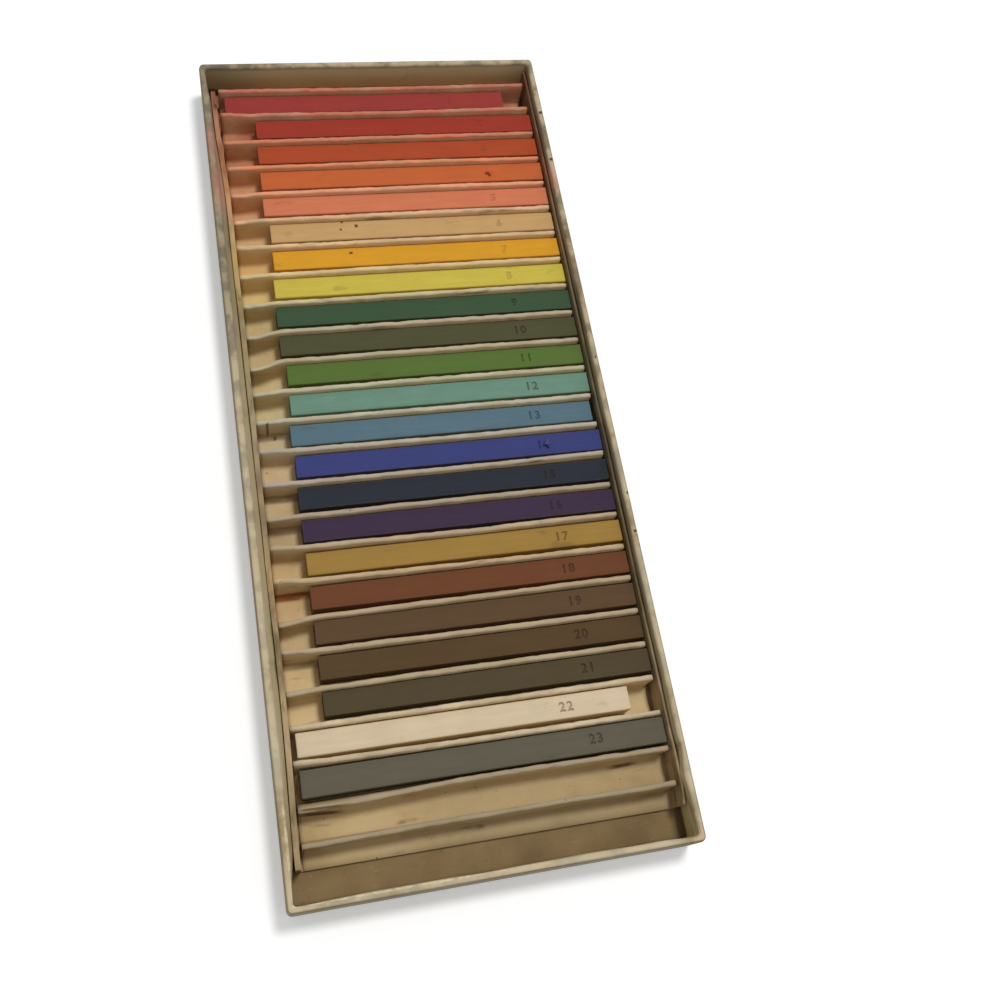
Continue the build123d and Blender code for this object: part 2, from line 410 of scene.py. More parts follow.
def dust_colour(f):
    """Colour of the pigment that has come off the stick beside this place."""
    names = [name.split("_", 2)[2] for name in reversed(stick_nodes)]
    stops = [(0.0, pigments["gray"])]
    for number, name in enumerate(names, start=1):
        stops.append(((number + 0.5) / groove_count, pigments[name]))
    blurred = groove_share(f) + (f.noise(6.0, 3.0, seed=20.0) - 0.5) * 0.05
    return f.shaded(f.node("ShaderNodeValToRGB", {"stops": stops}, {0: blurred}), 1.3)


def groove_dust(f):
    """How much loose pigment lies here: most by the reds at the far end, least by the pale sticks."""
    amounts = [(0.0, 0.12), (0.16, 0.16), (0.3, 0.48), (0.36, 0.4), (0.42, 0.22), (0.5, 0.28)]
    amounts += [(0.6, 0.3), (0.68, 0.36), (0.76, 0.5), (0.82, 0.62), (0.88, 0.85), (1.0, 1.0)]
    stops = [(place, (amount, amount, amount, 1.0)) for place, amount in amounts]
    amount = f.parts_of(f.node("ShaderNodeValToRGB", {"stops": stops}, {0: groove_share(f)}))[0]
    patches = f.rise(f.noise(8.0, 5.0, seed=21.0, roughness=0.65), 0.3, 0.68)
    return amount * (0.5 + patches * 0.5)


def stain_line(f, start, end, width):
    """1 along a line from start to end, each (x, y) in millimetres."""
    slope = (end[1] - start[1]) / (end[0] - start[0])
    away = f.absolute(f.y - (start[1] + (f.x - start[0]) * slope))
    within = f.rise(f.x, start[0] - 1, start[0] + 3) * f.rise(f.x, end[0] + 1, end[0] - 4)
    return f.rise(away, width, width * 0.4) * within


def crease_stains(f):
    """Dark lines below the last crest but one: a crack in the paper higher up and a painted shadow under
    the crest below it, and brown marks in a few folds further on.
    """
    broken = f.rise(f.noise(2.5, 4.0, f.stretched(3.0, 1.0, 1.0), seed=9.0), 0.36, 0.55)
    upper = stain_line(f, (-50.5, -105.3), (-35.3, -105.7), 0.45) * f.rise(f.z, 9.0, 10.0)
    # Painted shadow: the lines under the crest, left and right
    left = stain_line(f, (-50.5, -105.6), (-37.3, -106.4), 0.6)
    right = stain_line(f, (35.1, -106.2), (44.6, -105.8), 0.7)
    lower = f.larger(left, right) * f.rise(f.z, 9.0, 8.0)
    stains_and_shadow = f.larger(upper, lower) * (0.4 + broken * 0.45)
    for number, amount in ((7, 0.95), (10, 0.6), (9, 0.5), (12, 0.4), (5, 0.5)):
        fold_y = (nearest_fin + number * pitch) / mm - 1.6
        here = f.rise(f.absolute(f.y - fold_y), 1.5, 0.5) * f.rise(f.z, 6.0, 4.0)
        stains_and_shadow = f.larger(here * amount * (0.4 + broken * 0.6), stains_and_shadow)
    return stains_and_shadow


def pleated_paper_finish():
    """Soft cream paper with pigment in its grooves, dirt in its folds, pale rubbed crests, painted light on
    the uncovered groove floors at the left end and a painted shadow under the last crest but one.
    """
    f = Finish("pleated_paper")
    clouds = f.noise(13.0, 4.0, seed=1.0)
    colour = f.mix(f.rise(clouds, 0.42, 0.72) * 0.6, cream, old_cream)
    crest_top, floor_z = sheet_high.z / mm, floor_height / mm
    crest = f.rise(f.z, crest_top - 1.5, crest_top - 0.4)
    colour = f.mix(crest * 0.8, colour, pale_cream)
    foot = f.rise(f.z, floor_z + 1.6, floor_z + 0.5)
    # Painted light: the groove floors at the left end, which no stick covers, made brighter
    painted_floor_light = foot * f.rise(f.y, 70.0, 30.0) * f.rise(f.x, -5.0, -30.0)
    colour = f.shaded(colour, 1 + painted_floor_light * 0.24)
    dust, tint = groove_dust(f), dust_colour(f)
    colour = f.mix(dust * 0.6 * (1 - crest), colour, tint)
    colour = f.mix(foot * dust * 0.35, colour, tint)
    pale_sticks = f.rise(f.y, 95.0, 50.0) * f.rise(f.y, -110.0, -98.0)
    chalk = pale_sticks * (0.22 + f.rise(f.y, -30.0, 0.0) * 0.18)
    chalky = f.mix(chalk, f.shaded(tint, 1.45), chalk_white)
    worn = f.rise(f.noise(4.0, 5.0, f.stretched(3.0, 1.0, 1.0), seed=8.0, roughness=0.65), 0.3, 0.7)
    colour = f.mix(crest * (0.16 + dust * 0.52 + worn * 0.2), colour, chalky)
    colour = f.shaded(colour, 1 - crest * (1 - worn) * 0.26)
    colour = f.shaded(colour, 1 - f.rise(f.y, -90.0, -106.0) * 0.2)
    colour = f.shaded(colour, 1 - foot * f.rise(f.y, -111.0, -115.0) * 0.16)
    streaks = f.noise(2.2, 5.0, f.stretched(9.0, 1.0, 1.0), seed=2.0)
    smudge = f.rise(streaks, 0.58, 0.72) * f.rise(f.noise(12.0, 2.0, seed=3.0), 0.47, 0.58)
    colour = f.mix(smudge * 0.7, colour, grime_and_shade)
    specks = f.flecks(2.4, 0.09) * f.rise(f.noise(9.0, 2.0, seed=4.0), 0.58, 0.68)
    colour = f.mix(specks * 0.4, colour, soot)
    russet_y = (nearest_fin + 7 * pitch) / mm - 1.6
    # Brown for the fold marks and the painted shadow line, russet by the russet stick
    stain_and_shadow_colour = f.mix(f.rise(f.absolute(f.y - russet_y), 4.0, 3.0), brown_stain_and_shadow, russet_stain)
    colour = f.mix(crease_stains(f), colour, stain_and_shadow_colour)
    marks = f.spots([(-16.4, 54.4, 0.7), (-44.5, 2.0, 0.7), (-46.5, 3.2, 0.5), (-43.0, 26.5, 0.6)])
    colour = f.mix(marks * 0.7, colour, soot)
    rubbed = f.rise(f.noise(1.6, 4.0, f.stretched(3.0, 1.0, 1.0), seed=5.0), 0.5, 0.7)
    colour = f.mix(crest * rubbed * 0.35, colour, old_cream)
    grain = f.noise(0.45, 5.0, seed=6.0)
    colour = f.shaded(colour, 0.91 + grain * 0.18)
    return f.done(colour, 0.85 + grain * 0.1, paper_relief(f), 0.15)


# Dark nicks in two of the sticks, as (x, y, size) in millimetres
nicks = {
    "buff": [(-16.6, 71.3, 0.6), (-12.2, 69.7, 0.8), (-17.3, 68.5, 0.5)],
    "golden_yellow": [(-15.0, 59.8, 0.6)],
}


def pastel_finish(name, pigment):
    """Pressed chalk: a flat colour with fine powder, soft scuffs, a few smudges and worn edges, and painted
    shade in the sunken numbers.
    """
    f = Finish("pastel_" + name)
    wear = f.node("ShaderNodeAttribute", {"attribute_name": "wear"}, output="Fac")
    clouds = f.noise(10.0, 4.0, seed=1.0)
    colour = f.shaded(pigment, 0.92 + clouds * 0.16)
    powder = f.noise(0.3, 4.0, seed=2.0, roughness=0.7)
    scuffs = f.noise(1.2, 5.0, f.stretched(9.0, 1.0, 1.0), seed=3.0)
    colour = f.shaded(colour, 0.965 + f.rise(scuffs, 0.4, 0.7) * 0.07)
    smudge = f.rise(f.noise(5.0, 5.0, f.stretched(2.5, 1.0, 1.0), seed=4.0), 0.62, 0.72)
    colour = f.mix(smudge * 0.25, colour, grime_and_shade)
    colour = f.mix(wear * f.rise(powder, 0.35, 0.65) * 0.16, colour, pale_cream)
    pits = f.flecks(1.7, 0.1) * f.rise(f.noise(9.0, 2.0, seed=5.0), 0.5, 0.62)
    colour = f.shaded(colour, 1 - pits * 0.4)
    if name in nicks:
        colour = f.mix(f.spots(nicks[name]) * 0.85, colour, soot)
    top = first_high.z / mm
    step, side = pitch / mm, stick_side / mm
    across = f.math("FRACT", (f.y - last_low.y / mm) / step) * step
    away_from_edges = f.rise(f.absolute(across - side / 2), 2.6, 2.3)
    # Painted shade in the sunken numbers, below the top face and away from the edges
    stamp_shade = f.rise(f.z, top - 0.08, top - 0.22) * away_from_edges
    colour = f.shaded(colour, 1 - stamp_shade * 0.42)
    colour = f.shaded(colour, 0.93 + powder * 0.14)
    height = powder * 0.75 + scuffs * 0.25
    return f.done(colour, 0.82 + powder * 0.14, f.bump(height, 0.05), 0.2)


def loose_pigment_finish():
    """Crumbs and dust in the colour of the stick that they fell from."""
    f = Finish("loose_pigment")
    grain = f.noise(0.25, 3.0)
    colour = f.shaded(dust_colour(f), 0.6 + grain * 0.6)
    return f.done(colour, 0.85 + grain * 0.1, f.bump(grain, 0.04), 0.2)


def stay_paper_finish():
    """Kraft paper of the corner stays, under the covering."""
    f = Finish("stay_paper")
    clouds = f.noise(6.0, 4.0)
    colour = f.shaded(kraft, 0.85 + clouds * 0.3)
    return f.done(colour, 0.7 + clouds * 0.15, paper_relief(f), 0.25)


# Shapes from rules

class Shape(Nodes):
    """A tree of Geometry Nodes in the making, with named inputs for its sizes."""

    kinds = {float: "NodeSocketFloat", int: "NodeSocketInt", tuple: "NodeSocketVector"}
    kinds[bpy.types.Material] = "NodeSocketMaterial"

    def __init__(self, name, takes_mesh=False, **inputs):
        tree = bpy.data.node_groups.new(name, "GeometryNodeTree")
        super().__init__(tree)
        tree.interface.new_socket("Geometry", in_out="OUTPUT", socket_type="NodeSocketGeometry")
        if takes_mesh:
            tree.interface.new_socket("Geometry", in_out="INPUT", socket_type="NodeSocketGeometry")
        self.identifiers = {}
        for label, kind in inputs.items():
            socket = tree.interface.new_socket(label, in_out="INPUT", socket_type=self.kinds[kind])
            self.identifiers[label] = socket.identifier
        self.group_input = tree.nodes.new("NodeGroupInput")

    def given(self, label):
        """An input of the tree, by its name."""
        return Socket(self, self.group_input.outputs[label])

    def moved(self, geometry, offset):
        return self.node("GeometryNodeSetPosition", None, {"Geometry": geometry, "Offset": offset})

    def ended(self, geometry, material):
        """Close the tree: no instances left, and one material."""
        real = self.node("GeometryNodeRealizeInstances", None, {0: geometry})
        painted = self.node("GeometryNodeSetMaterial", None, {0: real, "Material": material})
        self.node_output(painted)
        return self

    def node_output(self, geometry):
        group_output = self.tree.nodes.new("NodeGroupOutput")
        self.tree.links.new(geometry.output, group_output.inputs[0])

    def noise(self, place, size, detail, seed, output=0):
        """Cloudy pattern: 0 is about 0 to 1, 1 is a colour that serves as three of them."""
        values = {"Vector": place, "W": seed, "Scale": 1 / size, "Detail": detail}
        return self.node("ShaderNodeTexNoise", {"noise_dimensions": "4D"}, values, output)

    def applied(self, name, mesh, extra=(), **values):
        """A plain mesh object of that name: the tree, then any extra modifiers, applied to the mesh."""
        source = placed(name + ".source", mesh)
        modifier = source.modifiers.new(self.tree.name, "NODES")
        modifier.node_group = self.tree
        for label, value in values.items():
            modifier[self.identifiers[label]] = value
        for kind, settings in extra:
            added = source.modifiers.new(kind.title(), kind)
            for setting, value in settings.items():
                setattr(added, setting, value)
        source.update_tag()
        result = plain_mesh(source)
        bpy.data.objects.remove(source)
        result.materials.clear()
        result.materials.append(values["Finish"])
        result.polygons.foreach_set("material_index", [0] * len(result.polygons))
        result.name = name
        result.shade_smooth()
        return placed(name, result)


def stick_shape():
    """A square stick with edges worn by uneven amounts, chipped places and soft dents."""
    s = Shape("worn_stick", Size=tuple, Middle=tuple, Edge=float, Chips=float,
              Uneven=float, Seed=float, Finish=bpy.types.Material)
    size, seed = s.given("Size"), s.given("Seed")
    rows = {"Size": size, "Vertices X": 190, "Vertices Y": 15, "Vertices Z": 15}
    block = s.node("GeometryNodeMeshCube", None, rows)
    place = s.node("GeometryNodeInputPosition")
    chip_noise = s.noise(place, 2.6 * mm, 3.0, seed)
    long_noise = s.noise(place, 11 * mm, 2.0, seed)
    chipped = s.rise(chip_noise, 0.56, 0.74) * s.rise(long_noise, 0.42, 0.62)
    edge = s.given("Edge") * (0.6 + long_noise * 0.8) + s.given("Chips") * chipped
    half = s.scaled(size, 0.5)
    inner = s.vector_math("SUBTRACT", half, s.vector(edge, edge, edge))
    low = s.vector_math("MULTIPLY", inner, (-1.0, -1.0, -1.0))
    core = s.vector_math("MINIMUM", s.vector_math("MAXIMUM", place, low), inner)
    outward = s.vector_math("SUBTRACT", place, core)
    reach = s.vector_math("LENGTH", outward, output=1)
    direction = s.vector_math("NORMALIZE", outward)
    lost = s.smaller(edge - reach, 0.0)
    dent = -s.given("Uneven") * s.noise(place, 4.5 * mm, 4.0, seed + 3.0)
    shift = s.scaled(direction, lost + dent)
    wear = s.rise(-lost, 0.02 * mm, 0.2 * mm)
    stored = s.node("GeometryNodeStoreNamedAttribute", {"data_type": "FLOAT", "domain": "POINT"},
                    {"Geometry": block, "Name": "wear", "Value": wear})
    worn = s.moved(stored, shift)
    return s.ended(s.moved(worn, s.given("Middle")), s.given("Finish"))


def pleat_shape():
    """Folds a flat sheet: hollow floors, folds, straight legs and round crests, all a little uneven.

    The flat sheet's points carry along (way along the paper from the middle of their groove),
    groove_y, fin_y (the fin that they lean with), hollow (radius of the floor), half_floor and lean.
    """
    s = Shape("pleats", True, Crest_Radius=float, Crest_Rise=float, Fold_Radius=float,
              Crest_Centre=float, Floor_Height=float, Wave=float, Slim=float, Flare=float, Torn=float,
              Rough=float, Seed=float, Finish=bpy.types.Material)

    def point_value(name):
        return s.node("GeometryNodeInputNamedAttribute", {"data_type": "FLOAT"}, {"Name": name})

    along, groove_y, fin_y = point_value("along"), point_value("groove_y"), point_value("fin_y")
    hollow, half_floor, lean = point_value("hollow"), point_value("half_floor"), point_value("lean")
    crest, fold = s.given("Crest_Radius"), s.given("Fold_Radius")
    floor_z, crest_z, seed = s.given("Floor_Height"), s.given("Crest_Centre"), s.given("Seed")
    flat_x = s.parts_of(s.node("GeometryNodeInputPosition"))[0]
    way = s.absolute(along)
    side = s.math("SIGN", along)
    slope = half_floor / hollow
    on_floor = s.smaller(way, half_floor) / hollow
    fold_length = fold * (pi / 2 - slope)
    in_fold = s.clamp(way - half_floor, 0.0, fold_length) / fold
    cos_slope = s.math("COSINE", slope)
    fold_top = floor_z + hollow * (1 - cos_slope) + fold * cos_slope
    leg_length = crest_z - fold_top
    past_fold = way - half_floor - fold_length
    up_leg = s.clamp(past_fold, 0.0, leg_length)
    in_crest = s.clamp(past_fold - leg_length, 0.0, crest * (pi / 2)) / crest
    out = hollow * s.math("SINE", on_floor)
    out = out + fold * (s.math("SINE", slope + in_fold) - s.math("SINE", slope))
    out = out + crest * (1 - s.math("COSINE", in_crest))
    up = floor_z + hollow * (1 - s.math("COSINE", on_floor))
    up = up + fold * (cos_slope - s.math("COSINE", slope + in_fold)) + up_leg
    up = up + s.given("Crest_Rise") * s.math("SINE", in_crest)
    share_up = s.clamp((up - fold_top) / (crest_z + s.given("Crest_Rise") - fold_top))
    fin_place = s.vector(flat_x, fin_y * 3.0, 0.0)
    sway = (s.noise(fin_place, 14 * mm, 3.0, seed) - 0.5) * s.given("Wave") * 2.0
    dip = s.rise(s.noise(fin_place, 9 * mm, 4.0, seed + 5.0), 0.45, 0.75) * s.given("Wave") * 0.9
    leg_place = s.vector(flat_x, groove_y * 7.0, side * 30 * mm)
    flare = (s.noise(leg_place, 7 * mm, 3.0, seed + 2.0) - 0.45) * s.given("Flare") * 2.0
    torn = (s.noise(leg_place, 2.2 * mm, 3.0, seed + 7.0) - 0.5) * s.given("Torn") * 2.0
    widen = flare * share_up ** 3.0 + torn * share_up ** 5.0 - s.given("Slim") * share_up
    widen = widen * s.math("COSINE", in_crest)
    y = groove_y + side * (out - widen) + (sway + lean) * share_up ** 1.3
    bitten = s.rise(s.noise(fin_place, 2.6 * mm, 3.0, seed + 6.0), 0.5, 0.72) * s.given("Torn")
    z = up - (dip + bitten) * share_up ** 4.0
    folded = s.node("GeometryNodeSetPosition", None,
                    {"Geometry": Socket(s, s.group_input.outputs[0]), "Position": s.vector(flat_x, y, z)})
    normal = s.node("GeometryNodeInputNormal")
    place = s.node("GeometryNodeInputPosition")
    lump = (s.noise(place, 2.4 * mm, 4.0, seed + 9.0) - 0.5) * s.given("Rough") * 2.0
    rough = s.scaled(normal, lump)
    return s.ended(s.moved(folded, rough), s.given("Finish"))


def crumb_shape():
    """Small broken crumbs strewn on the upper side of a mesh."""
    s = Shape("crumbs", True, Crumb_Size=float, Per_Square_Metre=float, Seed=int, Finish=bpy.types.Material)
    ground = Socket(s, s.group_input.outputs[0])
    facing = s.parts_of(s.node("GeometryNodeInputNormal"))[2]
    points = s.node("GeometryNodeDistributePointsOnFaces", {"distribute_method": "RANDOM"},
                    {"Mesh": ground, "Selection": facing > 0.8, "Density": s.given("Per_Square_Metre"),
                     "Seed": s.given("Seed")})
    crumb = s.node("GeometryNodeMeshIcoSphere", None, {"Radius": 0.5, "Subdivisions": 1})
    spin = s.node("FunctionNodeRandomValue", {"data_type": "FLOAT_VECTOR"},
                  {"Min": (0.0, 0.0, 0.0), "Max": (6.28, 6.28, 6.28), "Seed": s.given("Seed")})
    small = s.node("FunctionNodeRandomValue", {"data_type": "FLOAT"},
                   {2: 0.25, 3: 1.0, "Seed": s.given("Seed")}, 1)
    width = small * small * s.given("Crumb_Size")
    strewn = s.node("GeometryNodeInstanceOnPoints", None,
                    {"Points": points, "Instance": crumb, "Rotation": spin,
                     "Scale": s.vector(width, width * 0.75, width * 0.6)})
    return s.ended(strewn, s.given("Finish"))


# Pieces

def mesh_of(name, points, faces):
    mesh = bpy.data.meshes.new(name)
    mesh.from_pydata(points, [], faces)
    mesh.update()
    return mesh


def placed(name, data):
    """An object of that name in the scene."""
    thing = bpy.data.objects.new(name, data)
    bpy.context.scene.collection.objects.link(thing)
    return thing


def plain_mesh(thing):
    """The mesh of an object with its modifiers applied."""
    graph = bpy.context.evaluated_depsgraph_get()
    return bpy.data.meshes.new_from_object(thing.evaluated_get(graph), depsgraph=graph)


def faced_outwards(mesh, merge=0.0):
    """Merge points that lie closer than that, and turn all faces outwards."""
    shape = bmesh.new()
    shape.from_mesh(mesh)
    if merge:
        bmesh.ops.remove_doubles(shape, verts=shape.verts, dist=merge)
    bmesh.ops.recalc_face_normals(shape, faces=shape.faces)
    shape.to_mesh(mesh)
    shape.free()


def grid_faces(rows, columns, closed_rows=False, closed_columns=False):
    """Faces between the points of a grid that is listed row by row."""
    faces = []
    for row in range(rows if closed_rows else rows - 1):
        next_row = (row + 1) % rows
        for column in range(columns if closed_columns else columns - 1):
            next_column = (column + 1) % columns
            corners = (row * columns + column, row * columns + next_column)
            faces.append(corners + (next_row * columns + next_column, next_row * columns + column))
    return faces


# How far fins lean to the far side at their two ends, in millimetres. The farthest fin is number 1.
left_leans = {1: 0.4, 2: 0.8, 3: -0.4, 4: -0.4, 5: -0.8, 6: -0.7, 8: -0.5, 9: -1.0, 10: -1.8, 11: -2.6}
left_leans.update({12: -0.8, 14: 0.9, 15: 0.2, 16: -0.5, 17: 0.9, 18: 1.3, 19: -1.5, 20: 0.8, 21: -0.8})
left_leans.update({23: 0.8, 24: -1.6, 25: -0.6})
right_leans = {1: 1.6, 2: 1.2, 4: -0.8, 5: -0.7, 14: 0.9, 15: 1.0, 17: 0.9, 19: 0.7, 24: -0.6}
# How far in the lean at the left end reaches. A stick holds most fins up from there on.
lean_reach = {24: 48.0, 25: 26.0}


def smooth(share):
    """0 to 1, with a soft start and a soft end."""
    share = min(1.0, max(0.0, share))
    return share * share * (3 - 2 * share)


def held(lean):
    """What a stick on either side leaves of a lean."""
    return min(0.4, max(-0.3, lean * 0.4))


def lean_at(fin_number, from_left, from_right):
    """How far a fin leans to the far side there, in millimetres."""
    left, right = left_leans.get(fin_number, 0.0), right_leans.get(fin_number, 0.0)
    reach = lean_reach.get(fin_number, 10.5)
    free = smooth((reach - from_left) / (reach - 1.5))
    kept = held(left) * (1 - free) * smooth((60 - from_left) / 50)
    return left * free + kept + held(right) * smooth((45 - from_right) / 40)


def bow_at(y):
    """How far in the left edge of the insert is bowed there, as a share of the most."""
    return smooth((110 - y / mm) / 30) * (0.3 + 0.7 * smooth((y / mm + 120) / 45))


def way_steps(hollow, half_floor):
    """Places along the paper from the middle of a groove to the top of a fin, closer where it bends."""
    slope = half_floor / hollow
    fold_length = fold_radius * (pi / 2 - slope)
    leg_length = crest_centre - (floor_height + hollow * (1 - cos(slope)) + fold_radius * cos(slope))
    crest_length = crest_radius * pi / 2
    steps = [0.0]
    for length, count in ((half_floor, 2), (fold_length, 2), (leg_length, 2), (crest_length, 4)):
        start = steps[-1]
        steps += [start + length * number / count for number in range(1, count + 1)]
    return steps


def flat_sheet():
    """The pleated sheet before it is folded: points across it, with where each row ends up."""
    columns = 96
    width = sheet_high.x - sheet_low.x
    rows = []
    foot_floor = foot_length + paper / 2 - fold_radius
    for number in range(groove_count + 2):
        groove_y = nearest_fin + (number - 0.5) * pitch
        near_fin, far_fin = groove_y - pitch / 2, groove_y + pitch / 2
        hollow, half_floor = floor_radius, floor_half
        if number in (0, groove_count + 1):
            hollow, half_floor = 1.0, foot_floor
        steps = way_steps(hollow, half_floor)
        if number == 0:
            groove_y = sheet_low.y
            sides = [(step, far_fin) for step in steps[:-1]]
        elif number == groove_count + 1:
            groove_y = sheet_high.y
            sides = [(-step, near_fin) for step in reversed(steps)]
        else:
            sides = [(-step, near_fin) for step in reversed(steps)]
            sides += [(step, far_fin) for step in steps[1:-1]]
        rows += [(along, groove_y, fin_y, hollow, half_floor) for along, fin_y in sides]
    points = []
    values = {name: [] for name in ("along", "groove_y", "fin_y", "hollow", "half_floor", "lean")}
    for row, (along, groove_y, fin_y, hollow, half_floor) in enumerate(rows):
        fin_number = round(groove_count + 1 - (fin_y - nearest_fin) / pitch)
        for column in range(columns):
            share = column / (columns - 1)
            x = sheet_low.x + width * share + 0.45 * mm * bow_at(fin_y) * (1 - share)
            lean = lean_at(fin_number, (x - sheet_low.x) / mm, (sheet_high.x - x) / mm)
            points.append((x, row * 0.5 * mm, 0.0))
            for name, number in zip(values, (along, groove_y, fin_y, hollow, half_floor, lean * mm)):
                values[name].append(number)
    mesh = mesh_of("flat_sheet", points, grid_faces(len(rows), columns))
    for name, numbers in values.items():
        mesh.attributes.new(name, "FLOAT", "POINT").data.foreach_set("value", numbers)
    return mesh


def make_pleated_sheet(finish):
    """The insert's one long sheet, folded and a little uneven, with its thickness."""
    thick = ("SOLIDIFY", {"thickness": paper, "offset": 0.0, "use_even_offset": True})
    piece = pleat_shape().applied(
        "pleated_paper_sheet", flat_sheet(), [thick], Crest_Radius=crest_radius,
        Crest_Rise=crest_rise, Fold_Radius=fold_radius, Crest_Centre=crest_centre,
        Floor_Height=floor_height, Wave=0.22 * mm, Slim=0.3 * mm, Flare=0.3 * mm, Torn=0.34 * mm,
        Rough=0.08 * mm, Seed=4.0, Finish=finish)
    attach(piece, "insert")
    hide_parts("pleated_sheet")
    return piece


def make_crumbs(ground, finish):
    """Crumbs of pigment in the grooves, in the colour of the stick beside them."""
    piece = crumb_shape().applied("loose_pigment", ground.data.copy(), Crumb_Size=0.55 * mm,
                                  Per_Square_Metre=26000.0, Seed=7, Finish=finish)
    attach(piece, "insert")


stamp_half = 0.6 * mm  # half of a number stamp's height


def number_stamp(number, place, finish):
    """A cutter in the shape of a plain number."""
    curve = bpy.data.curves.new("stamp", "FONT")
    curve.body = str(number)
    curve.size = 3.7 * mm
    curve.offset = 0.085 * mm
    curve.extrude = stamp_half
    curve.resolution_u = 3
    curve.space_character = 1.2
    curve.align_x, curve.align_y = "CENTER", "CENTER"
    text = placed("stamp_text", curve)
    mesh = plain_mesh(text)
    bpy.data.objects.remove(text)
    faced_outwards(mesh, merge=0.001 * mm)
    mesh.materials.clear()
    mesh.materials.append(finish)
    cutter = placed("stamp", mesh)
    cutter.location = place
    return cutter


def make_sticks(finishes):
    """The worn sticks, each with its own number, dents and chips, a little swollen to the far side."""
    shape = stick_shape()
    for number, node in enumerate(stick_nodes, start=1):
        low, high = stick_boxes[node]
        middle = (low + high) / 2
        length = high.x - low.x
        name = node.split("_", 2)[2]
        far_more, near_more = 0.3 * mm, (0.6 if name == "gray" else 0.0) * mm
        sunk = (0.13 if number < 9 else 0.28) * mm
        spot = (high.x - length * 0.2, middle.y, high.z + stamp_half - sunk)
        stamp = number_stamp(number, spot, finishes[name])
        cut = ("BOOLEAN", {"operation": "DIFFERENCE", "solver": "EXACT", "object": stamp})
        piece = shape.applied(
            "pastel_" + node[6:], bpy.data.meshes.new("empty"), [cut],
            Size=(length, stick_side + far_more + near_more, stick_side),
            Middle=(middle.x, middle.y + (far_more - near_more) / 2, middle.z),
            Edge=0.3 * mm, Chips=0.45 * mm, Uneven=0.07 * mm, Seed=number * 1.7, Finish=finishes[name])
        bpy.data.objects.remove(stamp)
        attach(piece, node)
        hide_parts(node)
        "pastel_" + name


def make_side_card(name, low, high, finish, seed, bow, near_bend, soft_edge, torn_off, torn_length):
    """A strip of card on edge, a little bowed, with a soft top edge that is torn off at the far end.

    Bow, near_bend, soft_edge, torn_off and torn_length are in millimetres.
    """
    columns, rows = 260, 9
    middle_x = (low.x + high.x) / 2
    points = []
    for row in range(rows):
        for column in range(columns):
            y = low.y + (high.y - low.y) * column / (columns - 1)
            up = row / (rows - 1)
            from_near, from_far = (y - low.y) / mm, (high.y - y) / mm
            wobble = 0.05 * sin(y / (17 * mm) + seed) + 0.03 * sin(y / (5.3 * mm) + 2 * seed)
            lean = bow * bow_at(y) + near_bend * max(0.0, 1 - from_near / 12) ** 2
            top = high.z - 0.1 * mm - 0.5 * mm * max(0.0, 1 - from_near / 2) ** 2
            top -= torn_off * mm * smooth((torn_length + 1.5 - from_far) / 2.5)
            top -= 0.08 * mm * (1 + sin(y / (8.1 * mm) + 3 * seed)) / 2
            x = middle_x + (lean + wobble * up) * mm
            points.append((x, y, low.z + (top - low.z) * up))
    piece = placed(name, mesh_of(name, points, grid_faces(rows, columns)))
    thick = piece.modifiers.new("Solidify", "SOLIDIFY")
    thick.thickness = high.x - low.x
    thick.offset = 0.0
    soft = piece.modifiers.new("Bevel", "BEVEL")
    soft.width = soft_edge * mm
    soft.segments = 3
    soft.limit_method = "ANGLE"
    result = plain_mesh(piece)
    piece.modifiers.clear()
    piece.data = result
    result.shade_smooth()
    result.materials.append(finish)
    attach(piece, "insert")
    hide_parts(name)
    piece.name = name + "_worn"


def wall_ring(inset, step):
    """Points all round the tray, so far in from its outside, each with the direction that faces out."""
    radius = max(1.7 * mm - inset, 1.0 * mm)
    half_x, half_y = tray_high.x - inset - radius, tray_high.y - inset - radius
    centres = [Vector((half_x, -half_y, 0)), Vector((half_x, half_y, 0))]
    centres += [Vector((-half_x, half_y, 0)), Vector((-half_x, -half_y, 0))]
    ring = []
    for number, centre in enumerate(centres):
        for turn in range(-90, 1, 15):
            angle = radians(90 * number + turn)
            out = Vector((cos(angle), sin(angle), 0))
            ring.append((centre + out * radius, out))
        start, end = centre + out * radius, centres[(number + 1) % 4] + out * radius
        count = int((tray_high.x if number % 2 else tray_high.y) * 2 / step)
        ring += [(start.lerp(end, share / count), out) for share in range(1, count)]
    return ring


def lining_bulge(spot, out, low_down):
    """How far the turned-in paper stands off the wall there, in millimetres, high up or low down."""
    x, y = spot.x / mm, spot.y / mm
    ripple = 0.1 * sin(x / 7.1 + y / 9.3) + 0.07 * sin(y / 3.7 + 2.0) + 0.05 * sin(x / 3.1)
    ends = smooth((127 - y) / 12) * smooth((y + 127) / 14)
    if out.x < -0.99:
        return (0.75 + ripple * (1 - low_down) + (0.15 + 1.15 * bow_at(spot.y)) * low_down) * ends
    if out.x > 0.99:
        tear = 0.5 * smooth(1 - abs(y + 112) / 4) - 0.45 * smooth(1 - abs(y + 105) / 5)
        return (0.2 + ripple + tear) * ends
    across = smooth((51 - abs(x)) / 8)
    return (0.5 + ripple if out.y < -0.99 else 0.2 + ripple if out.y > 0.99 else 0.0) * across


